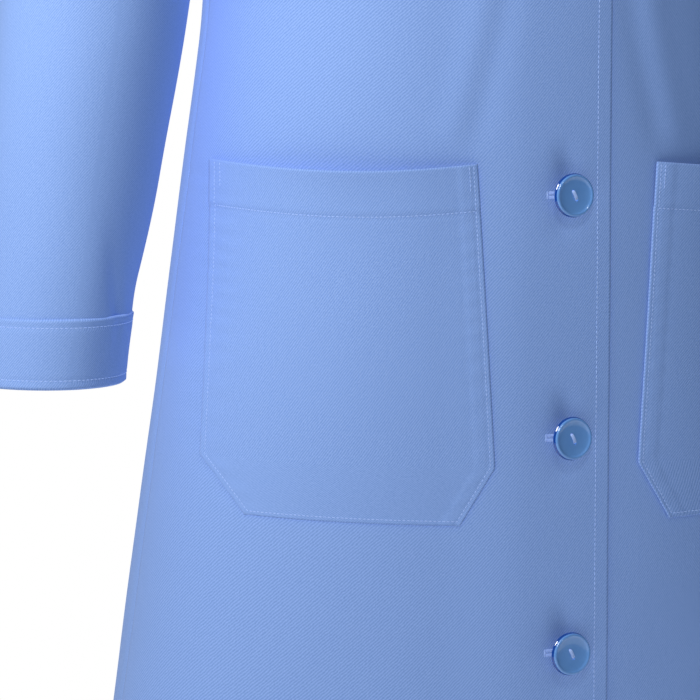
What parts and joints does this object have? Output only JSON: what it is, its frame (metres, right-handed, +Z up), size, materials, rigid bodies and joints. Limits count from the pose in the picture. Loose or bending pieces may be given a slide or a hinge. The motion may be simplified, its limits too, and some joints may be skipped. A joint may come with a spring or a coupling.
{
  "type": "lab coat",
  "caption": "A-line lab coat with notched lapels, a buttoned front, two patch pockets with cut corners, long sleeves with buttoned cuffs, and a hanger loop.",
  "frame": {"origin": "inside top of the hanger loop at the centre back neck", "axes": "+Z up, the front faces -Y, +X is the wearer's left"},
  "size_m": [0.6042, 0.33, 1.0407],
  "materials": {
    "twill": "light blue fine twill, matt",
    "button": "glossy pearly mid blue",
    "thread": "light blue sewing thread",
    "label": "plain woven tape, blank"
  },
  "bodies": {
    "root": {"back_right": "twill", "back_left": "twill", "front_right_upper": "twill", "front_left_upper": "twill", "lapel_right": "twill", "lapel_left": "twill", "collar": "twill", "back_neck_facing": "twill", "hanger_loop": "twill", "size_label": "label", "sleeve_cap_right": "twill", "sleeve_cap_left": "twill"},
    "right_front": {"front_right": "twill", "front_band_right": "twill", "pocket_right": "twill"},
    "left_front": {"front_left": "twill", "pocket_left": "twill"},
    "right_upper_sleeve": {"upper_sleeve_right": "twill"},
    "right_lower_sleeve": {"lower_sleeve_right": "twill", "cuff_right": "twill"},
    "right_cuff_flap": {"cuff_flap_right": "twill"},
    "right_cuff_button": {"cuff_button_right": "button", "cuff_thread_right": "thread"},
    "left_upper_sleeve": {"upper_sleeve_left": "twill"},
    "left_lower_sleeve": {"lower_sleeve_left": "twill", "cuff_left": "twill"},
    "left_cuff_flap": {"cuff_flap_left": "twill"},
    "left_cuff_button": {"cuff_button_left": "button", "cuff_thread_left": "thread"},
    "button_1": {"front_button_1": "button", "front_thread_1": "thread"},
    "button_2": {"front_button_2": "button", "front_thread_2": "thread"},
    "button_3": {"front_button_3": "button", "front_thread_3": "thread"},
    "button_4": {"front_button_4": "button", "front_thread_4": "thread"},
    "button_5": {"front_button_5": "button", "front_thread_5": "thread"}
  },
  "joints": [
    {"name": "right_front_open", "type": "hinge", "parent": "root", "child": "right_front", "pos_m": [-0.1405, -0.144, -0.254], "axis": [-0.0949, 0.0104, -0.9954], "range_deg": [0, 55], "deforming": ["front_band_right"]},
    {"name": "left_front_open", "type": "hinge", "parent": "root", "child": "left_front", "pos_m": [0.1405, -0.144, -0.254], "axis": [-0.0949, -0.0104, 0.9954], "range_deg": [0, 42]},
    {"name": "right_sleeve_lift", "type": "hinge", "parent": "root", "child": "right_upper_sleeve", "pos_m": [-0.1645, -0.07, -0.262], "axis": [0, 1, 0], "range_deg": [0, 40], "deforming": ["sleeve_cap_right"]},
    {"name": "right_elbow_bend", "type": "hinge", "parent": "right_upper_sleeve", "child": "right_lower_sleeve", "pos_m": [-0.22, -0.1425, -0.35], "axis": [-1, 0, 0], "range_deg": [0, 80]},
    {"name": "right_cuff_flap_open", "type": "hinge", "parent": "right_lower_sleeve", "child": "right_cuff_flap", "pos_m": [-0.3012, -0.0858, -0.614], "axis": [0.084, 0.05, 0.9952], "range_deg": [0, 90]},
    {"name": "right_cuff_button_twist", "type": "hinge", "parent": "right_lower_sleeve", "child": "right_cuff_button", "pos_m": [-0.2895, -0.0554, -0.614], "axis": [-0.7705, 0.6374, 0], "range_deg": [-60, 60], "stiffness_Nm_per_rad": 0.0003},
    {"name": "left_sleeve_lift", "type": "hinge", "parent": "root", "child": "left_upper_sleeve", "pos_m": [0.1645, -0.07, -0.262], "axis": [0, -1, 0], "range_deg": [0, 40], "deforming": ["sleeve_cap_left"]},
    {"name": "left_elbow_bend", "type": "hinge", "parent": "left_upper_sleeve", "child": "left_lower_sleeve", "pos_m": [0.22, -0.1425, -0.35], "axis": [-1, 0, 0], "range_deg": [0, 80]},
    {"name": "left_cuff_flap_open", "type": "hinge", "parent": "left_lower_sleeve", "child": "left_cuff_flap", "pos_m": [0.3012, -0.0858, -0.614], "axis": [0.084, -0.05, -0.9952], "range_deg": [0, 90]},
    {"name": "left_cuff_button_twist", "type": "hinge", "parent": "left_lower_sleeve", "child": "left_cuff_button", "pos_m": [0.2895, -0.0554, -0.614], "axis": [0.7705, 0.6374, 0], "range_deg": [-60, 60], "stiffness_Nm_per_rad": 0.0003},
    {"name": "button_1_twist", "type": "hinge", "parent": "left_front", "child": "button_1", "pos_m": [0, -0.2058, -0.275], "axis": [0, -1, 0], "range_deg": [-60, 60], "stiffness_Nm_per_rad": 0.0003},
    {"name": "button_2_twist", "type": "hinge", "parent": "left_front", "child": "button_2", "pos_m": [0, -0.2058, -0.4025], "axis": [0, -1, 0], "range_deg": [-60, 60], "stiffness_Nm_per_rad": 0.0003},
    {"name": "button_3_twist", "type": "hinge", "parent": "left_front", "child": "button_3", "pos_m": [0, -0.2058, -0.53], "axis": [0, -1, 0], "range_deg": [-60, 60], "stiffness_Nm_per_rad": 0.0003},
    {"name": "button_4_twist", "type": "hinge", "parent": "left_front", "child": "button_4", "pos_m": [0, -0.2058, -0.657], "axis": [0, -1, 0], "range_deg": [-60, 60], "stiffness_Nm_per_rad": 0.0003},
    {"name": "button_5_twist", "type": "hinge", "parent": "left_front", "child": "button_5", "pos_m": [0, -0.2058, -0.771], "axis": [0, -1, 0], "range_deg": [-60, 60], "stiffness_Nm_per_rad": 0.0003}
  ],
  "couplings": [
    {"joint": "left_front_open", "follows": "right_front_open", "ratio": 0.75}
  ]
}
